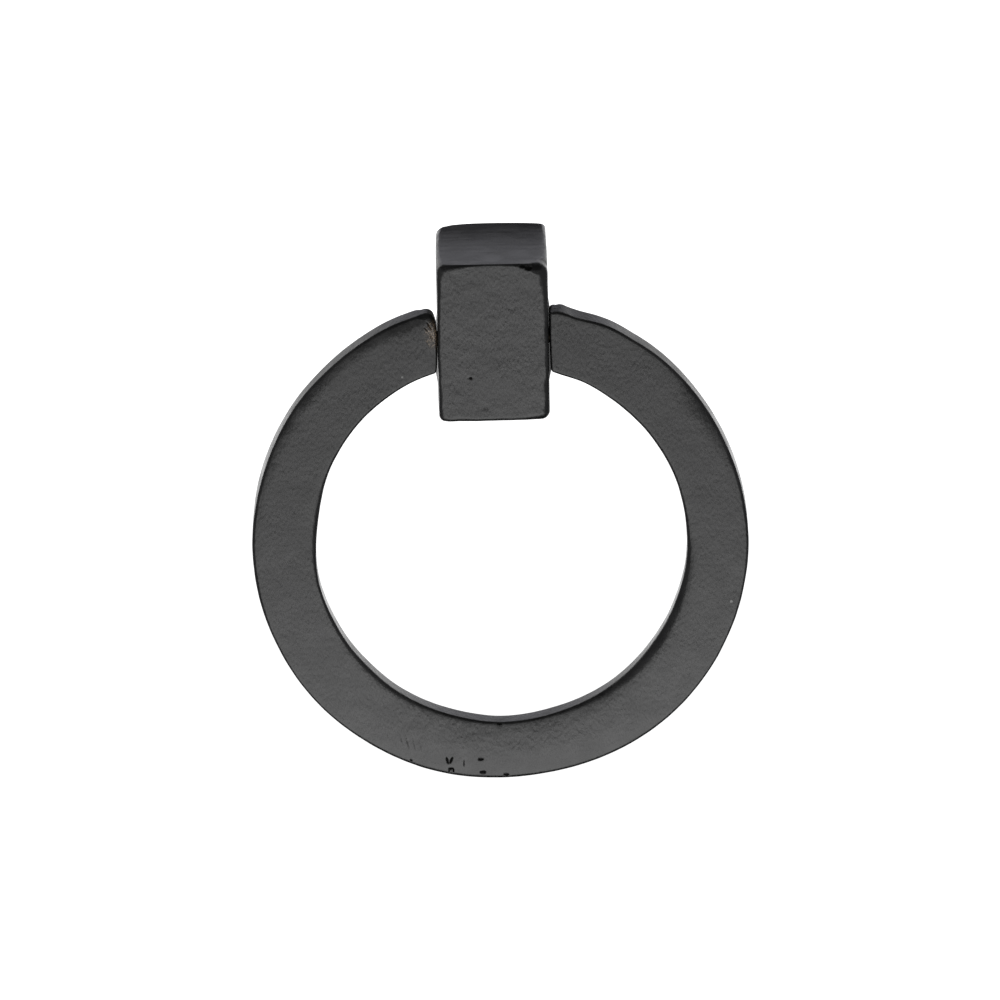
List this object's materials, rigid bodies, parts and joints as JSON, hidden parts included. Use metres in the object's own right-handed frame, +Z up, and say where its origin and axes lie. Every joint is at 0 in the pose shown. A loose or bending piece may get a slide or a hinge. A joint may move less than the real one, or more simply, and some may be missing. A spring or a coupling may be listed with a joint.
{
  "type": "ring pull handle",
  "caption": "Ring pull for a drawer or cupboard door: a cast block post with a flat open ring that swings on a hidden cross pin, fixed by a screw from behind.",
  "frame": {"origin": "centre of the post's back face, in the plane of the drawer front and on the axis of the screw hole", "axes": "+Y into the drawer front, out of the screw hole's mouth; +Z up, with the ring hanging towards -Z; the pull is gripped from the -Y side; X along the pin"},
  "size_m": [0.0634, 0.0225, 0.0689],
  "materials": {
    "blackened_bronze": "satin",
    "pin_brass": "satin"
  },
  "bodies": {
    "post": {"post": "blackened_bronze", "pivot_pin": "pin_brass"},
    "ring": {"ring": "blackened_bronze"}
  },
  "joints": [
    {"name": "ring_swing", "type": "hinge", "parent": "post", "child": "ring", "pos_m": [0, -0.0199, 0], "axis": [-1, 0, 0], "range_deg": [-18, 198]}
  ]
}
